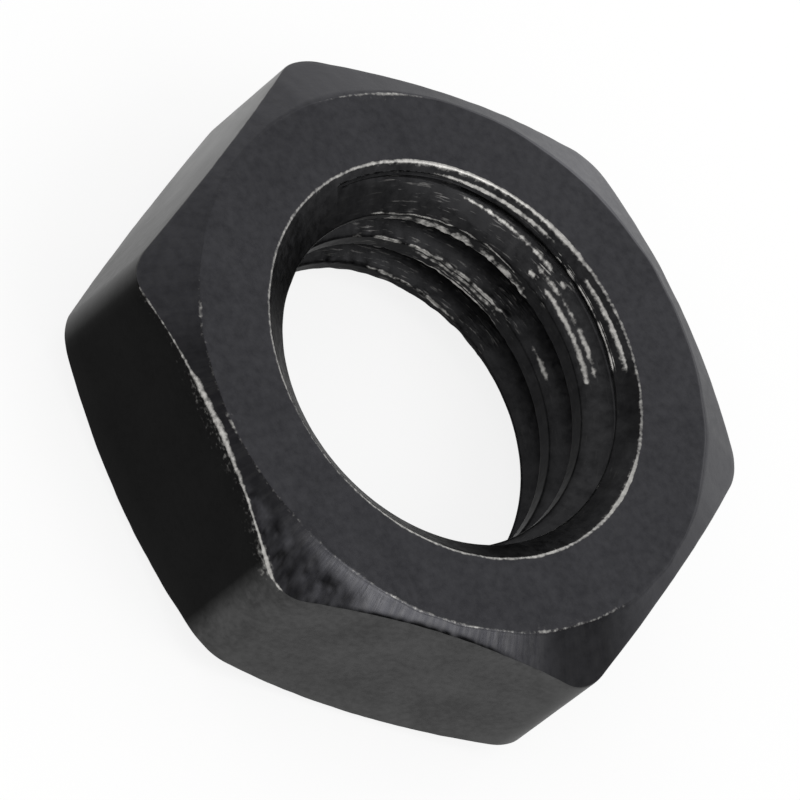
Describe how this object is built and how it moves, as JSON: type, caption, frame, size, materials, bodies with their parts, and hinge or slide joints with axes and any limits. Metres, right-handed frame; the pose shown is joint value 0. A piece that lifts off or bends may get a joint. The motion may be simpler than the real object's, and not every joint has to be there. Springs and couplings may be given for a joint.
{
  "type": "thin hex nut",
  "caption": "Thin hexagon nut with chamfered faces and a countersunk, coarse-threaded bore, in black oxide steel.",
  "frame": {"origin": "middle of the lower bearing face, on the thread's axis", "axes": "+Z along the thread's axis; +X square to one of the six flats; +Y through a corner"},
  "size_m": [0.018, 0.0204, 0.006],
  "materials": {
    "black_oxide_steel": "black oxide on carbon steel, satin, with bright worn edges"
  },
  "bodies": {
    "root": {"nut_body": "black_oxide_steel"}
  },
  "joints": []
}
